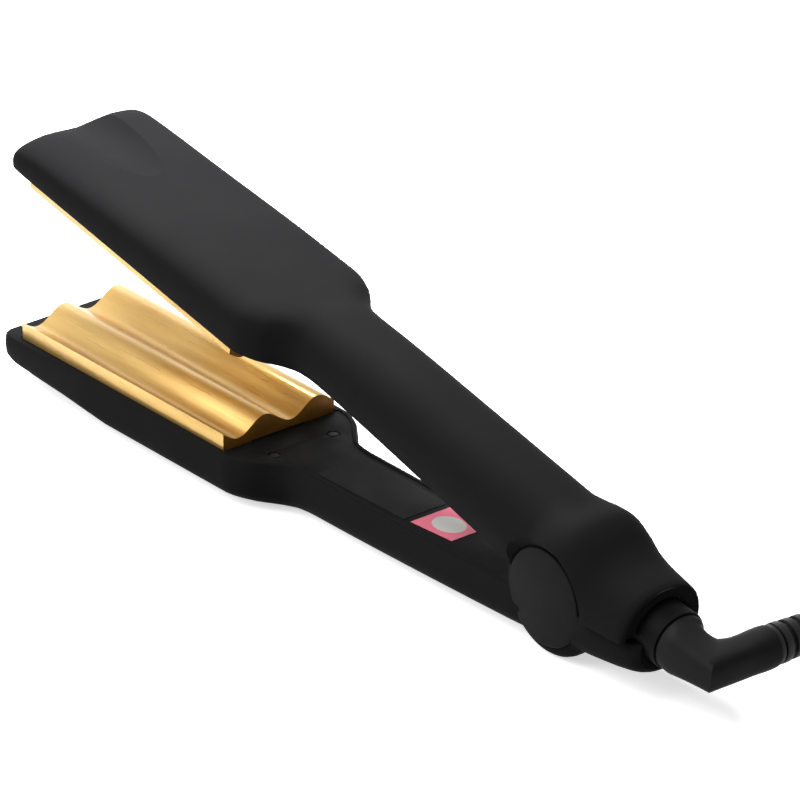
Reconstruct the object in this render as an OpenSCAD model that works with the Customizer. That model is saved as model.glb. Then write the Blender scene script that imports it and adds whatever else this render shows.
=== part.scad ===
// Hair crimper with two sprung arms, deep wave plates and a swivelling mains lead.
// It lies on its lower arm. X runs from the tip towards the cord, Y across, Z up.
// The origin is on the surface that it lies on, under the middle of the plates.
// The upper arm is drawn with the plates closed and then swung open to its stop.

/* [Wave plates] */
// Length of the heated plates
plate_len = 100; // [85:1:115]
// Width of the heated plates
plate_w = 42.8; // [38:0.2:46]
// Distance from one wave crest to the next
wave_pitch = 20.4; // [17:0.1:24]
// Height of the waves from valley to crest
wave_depth = 4.8; // [3.5:0.1:6]
// Distance from the near edge to the first valley
wave_start = 5.7; // [4:0.1:8]
// Gap left between the two plates when the arms are closed
plate_gap = 0.9; // [0.6:0.1:1.5]
// Height of the middle of the waves above the lower casing's rim
wave_mid = 4.5; // [3.6:0.1:5.5]
// Depth of each plate's flat back behind its casing's rim
plate_seat = 3; // [2:0.1:4]
// Side clearance of a plate in its casing
plate_clear = 0.5; // [0.3:0.1:0.8]
// Width of the heater channel in the back of a plate
heater_w = 20; // [16:0.5:26]
// Length of a heater
heater_len = 62; // [40:1:80]
// Thickness of a heater
heater_t = 2.2; // [1.6:0.1:2.6]

/* [Head] */
// Width of the head across its rims
head_w = 48.4; // [46:0.2:52]
// Outward swell of the head's sides
head_swell = 0.3; // [0.1:0.1:1]
// Casing past the plates at the tip
tip_cap = 7; // [5:0.5:10]
// Casing past the plates before the neck starts
heel = 2; // [1:0.5:5]
// Height of the lower casing's rim above the surface
rim_z = 16.5; // [15:0.1:18]
// Distance between the two rims over the plates when closed
rim_gap = 10; // [9:0.1:11]
// Height of the lower casing's underside at the tip
tip_rise = 5; // [2:0.5:7]
// Height of the upper head above its rim, at the rear
head_h = 17; // [15:0.5:19]
// Height of the upper head above its rim, at the tip
tip_h = 9.5; // [8:0.5:12]
// Depth of the finger scoop in the upper tip
scoop_depth = 1.4; // [0.8:0.1:2.4]
// Length of the finger scoop
scoop_len = 40; // [25:1:50]
// Width of the finger scoop at the tip
scoop_w = 23; // [16:1:28]

/* [Handle] */
// Length of the neck between head and handle
neck_len = 26; // [20:1:34]
// Width of the handles across their rims
handle_w = 24.6; // [23:0.2:28]
// Outward swell of the upper handle's sides
upper_swell = 2.2; // [1:0.1:3]
// Outward swell of the lower handle's sides
lower_swell = 1.2; // [0.5:0.1:2]
// Height of the top of the upper handle above the surface, closed
handle_top = 47; // [44:0.5:50]
// Height of the lower handle's underside at its rear end
handle_rise = 2.2; // [1:0.1:4]
// Height of the upper handle's rim at its rear end, closed
upper_rim_rear = 21; // [20.2:0.1:23]
// Width of the casing's edge round an inner cover
cover_edge = 1.6; // [1.2:0.1:2.5]
// Thickness of the inner covers
cover_t = 2; // [1.5:0.1:3]
// Depth of the inner covers below their rims
cover_drop = 0.4; // [0.2:0.1:0.8]
// Diameter of the cover screws' heads
screw_head_d = 3.8; // [3:0.1:5]
// Diameter of the cover screws' shanks
screw_d = 2.2; // [1.8:0.1:2.8]
// Distance between the two cover screws
screw_span = 22.8; // [16:0.2:26]

/* [Hinge] */
// Distance from the plates' rear end to the hinge
hinge_reach = 139.8; // [125:0.5:150]
// Height of the hinge above the surface
hinge_z = 19.4; // [19:0.1:21]
// Angle between the arms when open
open_angle = 11.3; // [8:0.1:14]
// Width across the lower arm's two ears
ears_w = 23.4; // [21:0.2:26]
// Width of the upper arm's knuckle between the ears
knuckle_w = 13; // [10:0.2:15]
// Radius of the knuckle round the hinge pin
knuckle_r = 11.5; // [9:0.5:13]
// Radius of the hinge pin
pin_r = 2.5; // [2:0.1:3.5]
// Radial running clearance of the knuckle on the pin
pin_fit = 0.05; // [0.02:0.01:0.1]
// Radius of the hinge caps
cap_r = 15.5; // [12:0.5:17]
// Thickness of the hinge caps that stands out of the ears
cap_t = 1.1; // [0.6:0.1:2]
// Clearance between the parts of the two arms
arm_clear = 0.4; // [0.3:0.05:0.8]
// Height of the dome over the hinge above the surface, closed
dome_top = 48; // [46:0.5:51]
// Width of the dome
dome_w = 33.4; // [30:0.2:36]

/* [Tail and swivel] */
// Length of the tail behind the hinge
tail_len = 41.5; // [38:0.5:50]
// Width of the upper tail at its end
tail_w = 30; // [27:0.5:34]
// Height of the upper tail's end above the surface, closed
tail_top = 42; // [39:0.5:46]
// Width of the lower tail
lower_tail_w = 25.4; // [23:0.2:28]
// Radius of the swivel collar
collar_r = 9.5; // [8.5:0.1:10.5]
// Length of the collar that shows behind the lower tail
collar_out = 4.6; // [3:0.1:8]
// Downward tilt of the collar
collar_tilt = 9.5; // [5:0.5:14]
// Height of the collar's axis where it leaves the lower tail
collar_z = 20.4; // [19:0.1:22]
// Radius of the swivel stem inside the collar
stem_r = 5.5; // [4.5:0.1:6.5]
// Running clearance of the stem in the collar
stem_fit = 0.1; // [0.03:0.01:0.1]
// Thickness of the elbow across its flats
elbow_w = 11.4; // [11:0.2:15]
// Length of the elbow's first leg, to the middle of its corner
elbow_leg = 15.2; // [14:0.2:22]
// Length of the elbow's second leg, from the middle of its corner
elbow_reach = 21.5; // [16:0.5:26]
// Radius of the round end of the elbow's second leg
elbow_end_r = 6.5; // [6:0.1:7]

/* [Mains lead] */
// Diameter of the mains lead
cord_d = 6.5; // [6:0.1:7]
// Length of the ribbed strain relief
relief_len = 42; // [30:1:55]
// Number of ribs on the strain relief
relief_ribs = 9; // [6:1:12]
// Radius of the largest rib
relief_r = 6.4; // [6:0.1:7]
// Turns in each of the coil's four layers
coil_turns = 2.125; // [1.875:0.25:2.625]
// Radius of the coil at its innermost turn
coil_in_r = 22; // [20:0.5:28]
// Gap between neighbouring turns of the coil
coil_gap = 0.9; // [0.7:0.1:1.5]
// Width of the tie round the coil
tie_w = 9; // [6:0.5:14]
// Thickness of the tie
tie_t = 0.5; // [0.3:0.1:0.8]
// Length of the plug's body
plug_len = 34; // [30:1:40]
// Width of the plug's body at its face
plug_w = 34; // [30:1:36]
// Thickness of the plug's body
plug_t = 13.6; // [12:0.2:15]
// Diameter of the plug's pins
plug_pin_d = 4; // [3.8:0.1:4.2]
// Length of the plug's pins
plug_pin_len = 19; // [17:0.5:20]
// Distance between the plug's pins at their roots
plug_pitch = 18.4; // [17.5:0.1:19.2]

/* [Hidden] */
$fn = 64;
eps = 0.01;

// Places along X.
plate_x = plate_len / 2;
tip_x = -plate_x - tip_cap;
neck_x = plate_x + heel;
handle_x = neck_x + neck_len;
hinge_x = plate_x + hinge_reach;
tail_x = hinge_x + tail_len;
hub_r = hinge_z;
spring_pocket = 8;
collar_in = 18;
clip_t = 1.2;
clip_r = stem_r + 1.8;
slot_r = hub_r + arm_clear;

// Heights of the upper arm with the plates closed.
upper_rim = rim_z + rim_gap;
upper_back = upper_rim + plate_seat;
lower_back = rim_z - plate_seat;

// Half widths.
head_half = head_w / 2;
handle_half = handle_w / 2;
plate_half = plate_w / 2;
rim_round = 0.8;

dome_half = dome_w / 2;

function clamp(v, low, high) = min(max(v, low), high);
function mix(a, b, t) = a + (b - a) * t;
function ease(t) = let (c = clamp(t, 0, 1)) c * c * (3 - 2 * c);

// Smooth reading of column k of a table of stations whose first column is x.
function span(tab, x, i = 0) =
    i >= len(tab) - 2 || x < tab[i + 1][0] ? i : span(tab, x, i + 1);
function rate(tab, k, i) = (tab[i + 1][k] - tab[i][k]) / (tab[i + 1][0] - tab[i][0]);
function bend(a, b) = a * b <= 0 ? 0 : 2 * a * b / (a + b);
function slope(tab, k, i) =
    i == 0 ? rate(tab, k, 0) :
    i == len(tab) - 1 ? rate(tab, k, i - 1) :
    bend(rate(tab, k, i - 1), rate(tab, k, i));
function read(tab, k, x) =
    let (i = span(tab, x), a = tab[i], b = tab[i + 1], h = b[0] - a[0])
    let (t = clamp((x - a[0]) / h, 0, 1), t2 = t * t, t3 = t2 * t)
    (2 * t3 - 3 * t2 + 1) * a[k] + (t3 - 2 * t2 + t) * h * slope(tab, k, i)
    + (3 * t2 - 2 * t3) * b[k] + (t3 - t2) * h * slope(tab, k, i + 1);

// Half of a casing's section, from its rim (0) out to its crown (h): a rounded
// rim, a side that swells, and a squared-off arch.
arch_steps = 8;
function half_section(rim, swell, h, square) =
    let (belly = rim_round + (h - rim_round) * 0.3, full = rim + swell)
    concat(
        [[rim - rim_round, 0], [rim - 0.3 * rim_round, 0.3 * rim_round]],
        [for (t = [0, 0.5]) [rim + swell * sin(90 * t), mix(rim_round, belly, t)]],
        [for (i = [0:arch_steps - 1]) let (a = 90 * i / arch_steps)
            [full * pow(cos(a), 2 / square), belly + (h - belly) * pow(sin(a), 2 / square)]]
    );
function section(rim, swell, h, square) =
    let (side = half_section(rim, swell, h, square), n = len(side))
    concat(side, [[0, h]], [for (i = [n - 1:-1:0]) [-side[i][0], side[i][1]]]);

function reversed(list) = [for (i = [len(list) - 1:-1:0]) list[i]];

// Solid through a row of rings with equal numbers of points, each ring running
// clockwise when seen from its far side along the row.
module skin(rings) {
    n = len(rings[0]);
    m = len(rings);
    points = [for (r = rings) each r];
    sides = [for (k = [0:m - 2], i = [0:n - 1]) let (j = (i + 1) % n)
        each [[k * n + i, k * n + j, (k + 1) * n + j], [k * n + i, (k + 1) * n + j, (k + 1) * n + i]]];
    ends = [[for (i = [n - 1:-1:0]) i], [for (i = [0:n - 1]) (m - 1) * n + i]];
    polyhedron(points, concat(sides, ends), convexity = 8);
}

// Places of the rings: close at the ends and round the neck.
function steps(a, b, n) = [for (i = [0:n - 1]) mix(a, b, i / n)];

// Lower arm: x, half width at the rim, height of the underside, squareness.
lower_table = [
    [tip_x, head_half - 2.6, tip_rise + 4.5, 2.6],
    [tip_x + 0.7, head_half - 1.1, tip_rise + 2.2, 2.9],
    [tip_x + 2.5, head_half - 0.2, tip_rise + 0.6, 3.2],
    [tip_x + 6, head_half, tip_rise - 0.5, 3.3],
    [-plate_x / 2, head_half, tip_rise * 0.42, 3.4],
    [-6, head_half, 0, 3.4],
    [plate_x / 2, head_half, 0, 3.4],
    [neck_x, head_half, 0, 3.4],
    [neck_x + 0.35 * neck_len, mix(head_half, handle_half, 0.25), 0, 3],
    [neck_x + 0.6 * neck_len, mix(head_half, handle_half, 0.7), 0, 2.8],
    [neck_x + 0.8 * neck_len, mix(head_half, handle_half, 0.93), 0, 2.6],
    [handle_x + 2, handle_half, 0, 2.5],
    [handle_x + 20, handle_half, 0.2, 2.5],
    [hinge_x - 16, handle_half - 0.4, handle_rise, 2.5],
    [hinge_x + 3, handle_half - 1.4, handle_rise + 0.8, 2.5]
];
lower_places = concat(
    [tip_x, tip_x + 0.35, tip_x + 0.7, tip_x + 1.5, tip_x + 2.5, tip_x + 4, tip_x + 6],
    steps(tip_x + 9, neck_x, 10),
    steps(neck_x, handle_x + 2, 12),
    steps(handle_x + 2, hinge_x + 3, 10), [hinge_x + 3]
);
function lower_ring(x) =
    let (rim = read(lower_table, 1, x), base = read(lower_table, 2, x))
    let (swell = mix(head_swell, lower_swell, ease((x - neck_x) / neck_len)))
    [for (p = section(rim, swell, rim_z - base + 0.3, read(lower_table, 3, x)))
        [x, p[0], max(0, rim_z - p[1])]];

// Upper arm, closed: x, half width at the rim, rim height, crown height, squareness.
upper_table = [
    [tip_x - 1, head_half - 2.6, upper_rim, upper_rim + tip_h - 4, 2.6],
    [tip_x - 0.4, head_half - 1.1, upper_rim, upper_rim + tip_h - 1.8, 2.9],
    [tip_x + 1.5, head_half - 0.2, upper_rim, upper_rim + tip_h, 3.3],
    [tip_x + 7, head_half, upper_rim, mix(upper_rim + tip_h, upper_rim + head_h, 0.2), 3.6],
    [-plate_x / 3, head_half, upper_rim, mix(upper_rim + tip_h, upper_rim + head_h, 0.52), 3.6],
    [plate_x / 2, head_half, upper_rim, mix(upper_rim + tip_h, upper_rim + head_h, 0.86), 3.6],
    [neck_x, head_half, upper_rim, upper_rim + head_h, 3.5],
    [neck_x + 0.35 * neck_len, mix(head_half, handle_half, 0.25), upper_rim,
        mix(upper_rim + head_h, handle_top, 0.2), 3.1],
    [neck_x + 0.6 * neck_len, mix(head_half, handle_half, 0.7), upper_rim,
        mix(upper_rim + head_h, handle_top, 0.4), 2.8],
    [neck_x + 0.8 * neck_len, mix(head_half, handle_half, 0.93), upper_rim - 0.1,
        mix(upper_rim + head_h, handle_top, 0.6), 2.5],
    [handle_x + 2, handle_half, upper_rim - 0.2, mix(upper_rim + head_h, handle_top, 0.75), 2.4],
    [handle_x + 24, handle_half, mix(upper_rim, upper_rim_rear, 0.2), handle_top, 2.3],
    [hinge_x - hub_r, handle_half, upper_rim_rear, handle_top, 2.3],
    [hinge_x - 9, handle_half + 0.4, upper_rim_rear - 0.6, handle_top - 0.2, 2.35],
    [hinge_x - 3, dome_half - 1.5, hinge_z, handle_top - 0.1, 2.6],
    [hinge_x + 1, dome_half - 0.7, hinge_z, dome_top - 0.6, 2.8],
    [hinge_x + 6, dome_half - 0.6, hinge_z, dome_top, 2.9],
    [hinge_x + 12, dome_half - 0.8, hinge_z, dome_top - 1.4, 2.8],
    [hinge_x + 19, mix(dome_half, tail_w / 2, 0.7) - 0.6, hinge_z, mix(tail_top, dome_top, 0.35), 2.6],
    [hinge_x + 26, tail_w / 2 - 0.4, hinge_z, tail_top + 0.6, 2.5],
    [tail_x - 5.2, tail_w / 2 - 0.6, hinge_z, tail_top, 2.4],
    [tail_x - 4.2, tail_w / 2 - 1.3, hinge_z, tail_top - 0.8, 2.4]
];
upper_places = concat(
    [tip_x - 1, tip_x - 0.7, tip_x - 0.4, tip_x + 0.4, tip_x + 1.5, tip_x + 4, tip_x + 7],
    steps(tip_x + 10, neck_x, 16),
    steps(neck_x, handle_x + 2, 12),
    steps(handle_x + 2, hinge_x - 10, 9),
    steps(hinge_x - 10, tail_x - 5.2, 18), [tail_x - 5.2, tail_x - 4.7, tail_x - 4.2]
);
// Finger scoop: deepest along the middle, fading out at its sides and rear end.
function scoop(x, y) =
    let (along = (x - tip_x) / scoop_len, half = scoop_w / 2 * sqrt(max(0.01, 1 - along * along)))
    along >= 1 ? 0 : scoop_depth * (1 - ease(along)) * (1 - ease(abs(y) / half - 0.1));
function upper_ring(x) =
    let (rim = read(upper_table, 1, x), base = read(upper_table, 2, x))
    let (top = read(upper_table, 3, x), square = read(upper_table, 4, x))
    let (swell = mix(head_swell, upper_swell, ease((x - neck_x) / neck_len)))
    let (width = mix(swell, 0.6, ease((x - hinge_x + 14) / 14)))
    [for (p = section(rim, width, top - base, square))
        [x, p[0], base + p[1] - (p[1] > (top - base) / 2 ? scoop(x, p[0]) : 0)]];

// Turns a closed upper arm to its open stop.
module opened() {
    translate([hinge_x, 0, hinge_z])
        rotate([0, open_angle, 0])
            translate([-hinge_x, 0, -hinge_z])
                children();
}

// A cylinder along Y on the hinge axis.
module hinge_round(r, from, to, fn = 96) {
    translate([hinge_x, to, hinge_z])
        rotate([90, 0, 0])
            cylinder(r = r, h = to - from, $fn = fn);
}

// Both sides of the hinge: the child and its mirror image.
module both_sides() {
    children();
    mirror([0, 1, 0])
        children();
}

// Places a child on the collar's axis, with its X along that axis.
module on_collar() {
    translate([tail_x, 0, collar_z])
        rotate([0, collar_tilt, 0])
            children();
}

// Plan of the space inside a casing's rims, drawn inwards by a margin.
function plan_side(tab, from, to, n, margin) =
    [for (i = [0:n]) let (x = mix(from, to, i / n)) [x, read(tab, 1, x) - margin]];
module rim_plan(tab, from, to, margin) {
    side = plan_side(tab, from, to, 24, margin);
    polygon(concat(side, [for (i = [len(side) - 1:-1:0]) [side[i][0], -side[i][1]]]));
}

// ---- Wave plates ----
function wave(y) =
    wave_mid - wave_depth / 2 * cos(360 * (y + plate_half - wave_start) / wave_pitch);
wave_steps = 56;
function wave_line(lift) =
    [for (i = [0:wave_steps]) let (y = mix(-plate_half, plate_half, i / wave_steps))
        [y, rim_z + wave(y) + lift]];
channel_h = heater_t + 0.3;

// Extrudes a YZ outline along X over the length of a plate.
module along_plate(len) {
    translate([-len / 2, 0, 0])
        rotate([90, 0, 90])
            linear_extrude(height = len)
                children();
}
module plate_channel(back, direction) {
    low = direction > 0 ? back - eps : back - channel_h;
    translate([-heater_w / 2 - 0.3, low])
        square([heater_w + 0.6, channel_h + eps]);
}
module lower_wave_plate() {
    color("goldenrod")
        along_plate(plate_len)
            difference() {
                polygon(concat([[plate_half, lower_back], [-plate_half, lower_back]], wave_line(0)));
                plate_channel(lower_back, 1);
            }
}
module upper_wave_plate() {
    color("goldenrod")
        opened()
            along_plate(plate_len)
                difference() {
                    polygon(concat(
                        [[plate_half, upper_back], [-plate_half, upper_back]],
                        wave_line(plate_gap)
                    ));
                    plate_channel(upper_back, -1);
                }
}

// ---- Heaters, their bowed springs and holders, at a height and facing up or down ----
holder_t = 4;
holder_well = 2.4;
fuse_len = 8;
module heater(back, up) {
    low = up ? back + 0.05 : back - 0.05 - heater_t;
    translate([-heater_len / 2, -heater_w / 2, low])
        cube([heater_len, heater_w, heater_t]);
}
module plate_holder(back, up) {
    low = up ? back - holder_t : back;
    well = up ? back - holder_well : back - eps;
    difference() {
        translate([-plate_x, -plate_half + 0.4, low])
            cube([plate_len, plate_w - 0.8, holder_t]);
        translate([-heater_len / 2, -heater_w / 2, well])
            cube([heater_len, heater_w, holder_well + eps]);
        translate([heater_len / 2 + 2, -2.5, well])
            cube([fuse_len + 1, 5, holder_well + eps]);
    }
}
// Leaf spring that presses the heater on the plate: an arc with two flat feet.
leaf_t = 0.5;
module heater_spring(back, up) {
    bow = holder_well - leaf_t;
    foot = heater_len / 2 - 3;
    function leaf(x) = bow * (1 - pow(x / foot, 2));
    line = [for (i = [0:16]) let (x = mix(-foot, foot, i / 16)) [x, leaf(x)]];
    outline = concat(line, [for (i = [16:-1:0]) [line[i][0], line[i][1] + leaf_t]]);
    flip = up ? 1 : -1;
    translate([0, heater_w / 2 - 4, back - flip * holder_well])
        mirror([0, 0, up ? 0 : 1])
            rotate([90, 0, 0])
                linear_extrude(height = heater_w - 8)
                    polygon(outline);
}

// ---- Inner covers and their screws ----
screw_x = neck_x + 10;
cover_rear = hinge_x - slot_r - 1.6;
module cover_screw() {
    rotate_extrude($fn = 24)
        polygon([
            [0, -6], [screw_d / 2 - 0.5, -6], [screw_d / 2, -5], [screw_d / 2, -0.9],
            [screw_head_d / 2, -0.9], [screw_head_d / 2, -0.35], [screw_head_d / 2 - 0.5, 0],
            [0, 0]
        ]);
}
module screw_hole() {
    translate([0, 0, -6 - eps])
        cylinder(d = screw_d + 0.1, h = 8, $fn = 24);
    translate([0, 0, -0.95])
        cylinder(d = screw_head_d + 0.2, h = 3, $fn = 24);
}
module screw_places(z) {
    for (side = [-1, 1])
        translate([screw_x, side * screw_span / 2, z])
            children();
}
lower_cover_z = rim_z - cover_drop;
module lower_inner_cover() {
    color("dimgray")
        difference() {
            translate([0, 0, lower_cover_z - cover_t])
                linear_extrude(height = cover_t)
                    rim_plan(lower_table, plate_x + 0.6, cover_rear, cover_edge + 0.1);
            screw_places(lower_cover_z)
                screw_hole();
        }
}
module lower_cover_screws() {
    color("silver")
        screw_places(lower_cover_z)
            cover_screw();
}
// The upper cover follows its rim, which slopes down to the hinge behind the neck.
function cover_side(x) = read(upper_table, 2, x) + cover_drop;
module upper_cover_profile(from, to, depth) {
    n = 16;
    line = [for (i = [0:n]) let (x = mix(from, to, i / n)) [x, cover_side(x)]];
    polygon(concat(line, [for (i = [n:-1:0]) [line[i][0], line[i][1] + depth]]));
}
module upper_cover_shape(from, to, depth, margin) {
    intersection() {
        translate([0, head_half, 0])
            rotate([90, 0, 0])
                linear_extrude(height = head_w)
                    upper_cover_profile(from, to, depth);
        linear_extrude(height = handle_top)
            rim_plan(upper_table, from, to, margin);
    }
}
module upper_screw_places() {
    for (side = [-1, 1])
        translate([screw_x, side * screw_span / 2, cover_side(screw_x)])
            mirror([0, 0, 1])
                children();
}
module upper_inner_cover() {
    color("dimgray")
        opened()
            difference() {
                upper_cover_shape(plate_x + 0.6, cover_rear, cover_t, cover_edge + 0.1);
                upper_screw_places()
                    screw_hole();
            }
}
module upper_cover_screws() {
    color("silver")
        opened()
            upper_screw_places()
                cover_screw();
}

// ---- Lower casing ----
// Lower tail: x, half width, height of the underside, squareness.
lower_tail_table = [
    [hinge_x + 0.5, lower_tail_w / 2, 4, 2.6],
    [hinge_x + 14, lower_tail_w / 2, 4.6, 2.6],
    [tail_x - 14, lower_tail_w / 2 - 0.2, 6, 2.6],
    [tail_x - 5, lower_tail_w / 2 - 0.7, 7.2, 2.5],
    [tail_x - 1.6, lower_tail_w / 2 - 1.5, 8.2, 2.4],
    [tail_x, lower_tail_w / 2 - 2.6, 9.6, 2.3]
];
lower_tail_places = concat(
    steps(hinge_x + 0.5, tail_x - 5, 6),
    [tail_x - 5, tail_x - 3, tail_x - 1.6, tail_x - 0.7, tail_x]
);
function lower_tail_ring(x) =
    [for (p = section(read(lower_tail_table, 1, x), 0.4,
            hinge_z - read(lower_tail_table, 2, x), read(lower_tail_table, 3, x)))
        [x, p[0], hinge_z - p[1]]];
// Round ear beside the knuckle, its outer edge well rounded.
module ear() {
    t = ears_w / 2 - knuckle_w / 2 - arm_clear;
    translate([hinge_x, knuckle_w / 2 + arm_clear, hinge_z])
        rotate([-90, 0, 0])
            rotate_extrude($fn = 96)
                polygon([
                    [0, 0], [hub_r, 0], [hub_r, t - 3.4], [hub_r - 0.3, t - 2.1], [hub_r - 1, t - 1.1],
                    [hub_r - 2, t - 0.4], [hub_r - 3.2, t], [0, t]
                ]);
}
// Pocket for a plate with its holder, open at the rim.
module head_pocket(floor_z, height) {
    translate([-plate_x - plate_clear, -plate_half - plate_clear, floor_z])
        cube([plate_len + 2 * plate_clear, plate_w + 2 * plate_clear, height]);
}
module lower_casing() {
    color("darkslategray")
        difference() {
            union() {
                skin([for (x = lower_places) lower_ring(x)]);
                skin([for (x = lower_tail_places) lower_tail_ring(x)]);
                both_sides()
                    ear();
            }
            head_pocket(lower_back - holder_t, rim_z);
            translate([0, 0, lower_cover_z - cover_t])
                linear_extrude(height = rim_z)
                    rim_plan(lower_table, plate_x + plate_clear - eps, cover_rear + 0.1, cover_edge);
            screw_places(lower_cover_z)
                translate([0, 0, -6.3])
                    cylinder(d = screw_d, h = 6, $fn = 24);
            // Slot for the upper arm's knuckle, open at the top.
            hinge_round(knuckle_r + arm_clear, -knuckle_w / 2 - arm_clear, knuckle_w / 2 + arm_clear);
            translate([hinge_x - knuckle_r - arm_clear, -knuckle_w / 2 - arm_clear, hinge_z])
                cube([2 * (knuckle_r + arm_clear), knuckle_w + 2 * arm_clear, hub_r]);
            hinge_round(pin_r, -ears_w, ears_w, 48);
            // Seat of the opening spring's leg, open at the rim.
            translate([hinge_x - knuckle_r - 3.8, (spring_coils - 2) * spring_wire / 2, hinge_z - spring_r - 0.7])
                cube([5, spring_wire + 0.3, spring_r]);
            both_sides()
                hinge_round(cap_r - 2 + 0.05, ears_w / 2 - 1.5, ears_w, 96);
            on_collar()
                rotate([0, 90, 0]) {
                    translate([0, 0, -collar_in])
                        cylinder(r = collar_r, h = collar_in + 30, $fn = 96);
                    translate([0, 0, -collar_in - 4.5])
                        cylinder(r = clip_r + 0.4, h = 10, $fn = 64);
                }
        }
}

// ---- Upper casing ----
// Opening at the end of the tail, which arches over the collar.
module tail_arch(w, h, depth) {
    on_collar()
        translate([-depth, 0, -collar_r])
            rotate([90, 0, 90])
                linear_extrude(height = depth + 20)
                    polygon(concat(
                        [for (i = [0:24]) let (a = 180 * i / 24) [w / 2 * cos(a), collar_r + h * sin(a)]],
                        [[-w / 2, -h], [w / 2, -h]]
                    ));
}
module upper_casing() {
    color("darkslategray")
        difference() {
            opened()
                difference() {
                    union() {
                        skin([for (x = upper_places) reversed(upper_ring(x))]);
                        hinge_round(knuckle_r - 0.2, -knuckle_w / 2, knuckle_w / 2);
                    }
                    head_pocket(upper_rim - eps, plate_seat + holder_t + eps);
                    upper_cover_shape(plate_x + plate_clear - eps, cover_rear + 0.1, cover_t, cover_edge);
                    upper_cover_shape(plate_x + plate_clear - eps, cover_rear + 0.1, -3, cover_edge);
                    upper_screw_places()
                        translate([0, 0, -6.3])
                            cylinder(d = screw_d, h = 6, $fn = 24);
                    hinge_round(pin_r + pin_fit, -40, 40, 48);
                    // Pocket of the opening spring, open in front for its leg.
                    hinge_round(spring_r + 2.1, -spring_pocket / 2, spring_pocket / 2, 48);
                    translate([hinge_x - knuckle_r - 1, -spring_pocket / 2, hinge_z - spring_r - 4])
                        cube([knuckle_r + 1, spring_pocket, 5.2]);
                    // Pockets for the lower arm's ears and hinge caps.
                    both_sides() {
                        hinge_round(slot_r, knuckle_w / 2, ears_w / 2 + arm_clear);
                        translate([hinge_x, ears_w / 2 + arm_clear - eps, hinge_z])
                            rotate([-90, 0, 0])
                                cylinder(r1 = cap_r + arm_clear, r2 = cap_r + arm_clear + 8.4, h = 7, $fn = 96);
                    }
                }
            // The rear rim lies along the lower tail's when the arms are open.
            difference() {
                translate([hinge_x - knuckle_r - 1.5, -40, hinge_z - 40 + 0.3])
                    cube([80, 80, 40]);
                hinge_round(knuckle_r, -knuckle_w / 2 - 1, knuckle_w / 2 + 1);
            }
            tail_arch(tail_w - 3, 13, 28);
        }
}

// ---- Plate carriers, heaters and small parts of each arm ----
module lower_plate_holder() {
    color("saddlebrown")
        plate_holder(lower_back, true);
}
module lower_heater() {
    color("tan")
        heater(lower_back, true);
}
module lower_heater_spring() {
    color("silver")
        heater_spring(lower_back, true);
}
module upper_plate_holder() {
    color("saddlebrown")
        opened()
            plate_holder(upper_back, false);
}
module upper_heater() {
    color("tan")
        opened()
            heater(upper_back, false);
}
module upper_heater_spring() {
    color("silver")
        opened()
            heater_spring(upper_back, false);
}
// Thermal fuse against the back of the lower plate, in its own well.
module thermal_fuse() {
    r = holder_well / 2 - 0.05;
    color("lightgray")
        translate([heater_len / 2 + 2.5, 0, lower_back - 0.05 - r])
            rotate([90, 0, 90])
                cylinder(r = r, h = fuse_len, $fn = 24);
}

// Blank label and sticker on the lower inner cover.
label_t = 0.15;
label_x = handle_x + 2;
label_len = 40;
sticker_x = label_x + label_len + 2.5;
sticker_len = 17.5;
module blank_label() {
    color("gray")
        translate([label_x, 0, lower_cover_z])
            linear_extrude(height = label_t)
                polygon([
                    [0, -handle_half + 3], [label_len, -handle_half + 4],
                    [label_len, handle_half - 4], [0, handle_half - 3]
                ]);
}
module quality_sticker() {
    color("hotpink")
        translate([sticker_x, 0, lower_cover_z])
            linear_extrude(height = label_t)
                polygon([[0, -7.7], [sticker_len, -6.2], [sticker_len, 5], [0, 7.7]]);
}

// ---- Hinge ----
module hinge_pin() {
    color("silver")
        hinge_round(pin_r, -ears_w / 2 + 2, ears_w / 2 - 2, 48);
}
module hinge_cap() {
    translate([hinge_x, ears_w / 2 - 1.5, hinge_z])
        rotate([-90, 0, 0])
            rotate_extrude($fn = 96)
                polygon([
                    [0, 0], [cap_r - 2, 0], [cap_r - 2, 1.5], [cap_r, 1.5],
                    [cap_r, 1.5 + cap_t - 0.5], [cap_r - 0.2, 1.5 + cap_t - 0.15],
                    [cap_r - 0.7, 1.5 + cap_t], [0, 1.5 + cap_t]
                ]);
}
module near_hinge_cap() {
    color("black")
        mirror([0, 1, 0])
            hinge_cap();
}
module far_hinge_cap() {
    color("black")
        hinge_cap();
}
// Torsion spring in a pocket of the knuckle: touching coils round the pin, a leg
// seated in the lower casing and a short tang.
spring_wire = 1.2;
spring_coils = 6;
spring_r = 4.4;
module spring_leg(side, from, to) {
    w = spring_wire - 0.2;
    translate([hinge_x + from, side * (spring_coils - 1) * spring_wire / 2 - w / 2, hinge_z - spring_r - w / 2])
        cube([to - from, w, w]);
}
module opening_spring() {
    w = spring_wire / 2;
    half = spring_coils * w;
    beads = [for (i = [0:spring_coils - 1], a = [-60:60:60])
        [spring_r + w * cos(a), -half + w * (2 * i + 1) + w * sin(a)]];
    color("silver") {
        translate([hinge_x, 0, hinge_z])
            rotate([90, 0, 0])
                rotate_extrude($fn = 40)
                    polygon(concat([[spring_r - w, -half]], beads, [[spring_r - w, half]]));
        spring_leg(1, -knuckle_r - 3.5, 0);
        spring_leg(-1, 0, 4.4);
    }
}

// ---- Swivel ----
module swivel_collar() {
    color("black")
        on_collar()
            rotate([0, 90, 0])
                difference() {
                    translate([0, 0, -collar_in + 0.02])
                        cylinder(r = collar_r - 0.02, h = collar_in - 0.02 + collar_out, $fn = 96);
                    translate([0, 0, -collar_in - 1])
                        cylinder(r = stem_r + stem_fit, h = 40, $fn = 64);
                }
}
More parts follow.
